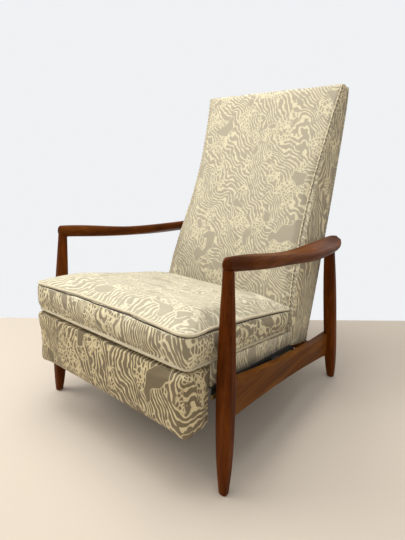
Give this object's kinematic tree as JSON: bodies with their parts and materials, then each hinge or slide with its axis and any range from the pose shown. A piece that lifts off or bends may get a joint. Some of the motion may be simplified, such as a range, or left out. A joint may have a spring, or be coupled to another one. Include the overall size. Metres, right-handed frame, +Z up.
{
  "type": "reclining lounge chair",
  "caption": "High-back push-back lounge chair with a tapered wooden frame, loose seat cushion, upholstered reclining back and a front panel that swings out as a footrest.",
  "frame": {"origin": "on the floor under the middle of the chair's box, chair upright and closed", "axes": "+Z up, the chair faces -Y, +X is the sitter's left"},
  "size_m": [0.7058, 0.8361, 1.0008],
  "materials": {
    "walnut": "satin",
    "pale_wood": "matte",
    "upholstery": "matte",
    "webbing": "matte",
    "dark_cloth": "matte",
    "black_steel": "satin",
    "zinc_steel": "satin",
    "bright_steel": "satin",
    "nylon": "matte"
  },
  "bodies": {
    "base": {"arm_dowels": "pale_wood", "corner_blocks": "pale_wood", "guide_blocks": "nylon", "left_armrest": "walnut", "left_front_leg": "walnut", "left_rear_leg": "walnut", "left_side_rail": "walnut", "left_track_plate": "black_steel", "leg_glides": "bright_steel", "middle_stretcher": "walnut", "rail_dowels": "pale_wood", "rear_stretcher": "walnut", "right_armrest": "walnut", "right_front_leg": "walnut", "right_rear_leg": "walnut", "right_side_rail": "walnut", "right_track_plate": "black_steel", "track_bolts": "bright_steel", "track_spacers": "black_steel"},
    "seat": {"seat_front_rail": "pale_wood", "seat_rear_rail": "pale_wood", "left_seat_rail": "pale_wood", "right_seat_rail": "pale_wood", "seat_webbing": "webbing", "seat_deck": "upholstery", "dust_cover": "dark_cloth", "seat_cushion": "upholstery", "left_deck_band": "upholstery", "right_deck_band": "upholstery", "left_seat_plate": "black_steel", "right_seat_plate": "black_steel", "slide_runners": "zinc_steel", "link_studs": "bright_steel", "hinge_pins": "bright_steel", "seat_screws": "bright_steel"},
    "back": {"back_cushion": "upholstery", "back_panel": "upholstery", "back_top_cap": "upholstery", "back_base_board": "pale_wood", "back_cross_rails": "pale_wood", "back_webbing": "webbing", "back_bolts": "bright_steel", "left_back_board": "pale_wood", "right_back_board": "pale_wood", "left_back_band": "upholstery", "right_back_band": "upholstery", "left_back_bracket": "black_steel", "right_back_bracket": "black_steel"},
    "front_links": {"left_front_link": "zinc_steel", "right_front_link": "zinc_steel", "front_link_pins": "bright_steel"},
    "rear_links": {"left_rear_link": "zinc_steel", "right_rear_link": "zinc_steel", "rear_link_pins": "bright_steel"},
    "footrest_arms": {"left_footrest_arm": "zinc_steel", "right_footrest_arm": "zinc_steel"},
    "footrest": {"footrest_board": "pale_wood", "footrest_pad": "upholstery", "footrest_brackets": "zinc_steel", "footrest_pins": "bright_steel"}
  },
  "joints": [
    {"name": "seat_slide", "type": "slide", "parent": "base", "child": "seat", "axis": [0, -0.9934, 0.1149], "range_m": [0, 0.09]},
    {"name": "back_hinge", "type": "hinge", "parent": "seat", "child": "back", "pos_m": [0, 0.12108, 0.16], "axis": [1, 0, 0], "range_deg": [-30, 0]},
    {"name": "front_link_hinge", "type": "hinge", "parent": "seat", "child": "front_links", "pos_m": [0, -0.22692, 0.225], "axis": [1, 0, 0], "range_deg": [-135, 0]},
    {"name": "rear_link_hinge", "type": "hinge", "parent": "seat", "child": "rear_links", "pos_m": [0, -0.15492, 0.213], "axis": [1, 0, 0], "range_deg": [-135, 0]},
    {"name": "arm_hinge", "type": "hinge", "parent": "front_links", "child": "footrest_arms", "pos_m": [0, -0.15629, 0.18744], "axis": [1, 0, 0], "range_deg": [0, 135]},
    {"name": "footrest_hinge", "type": "hinge", "parent": "footrest_arms", "child": "footrest", "pos_m": [0, -0.31692, 0.266], "axis": [1, 0, 0], "range_deg": [-85, 0]}
  ],
  "couplings": [
    {"joint": "back_hinge", "follows": "seat_slide", "rad_per_m": -5.8177},
    {"joint": "front_link_hinge", "follows": "seat_slide", "rad_per_m": -26.18},
    {"joint": "rear_link_hinge", "follows": "seat_slide", "rad_per_m": -26.18},
    {"joint": "arm_hinge", "follows": "seat_slide", "rad_per_m": 26.18},
    {"joint": "footrest_hinge", "follows": "seat_slide", "rad_per_m": -16.484}
  ]
}
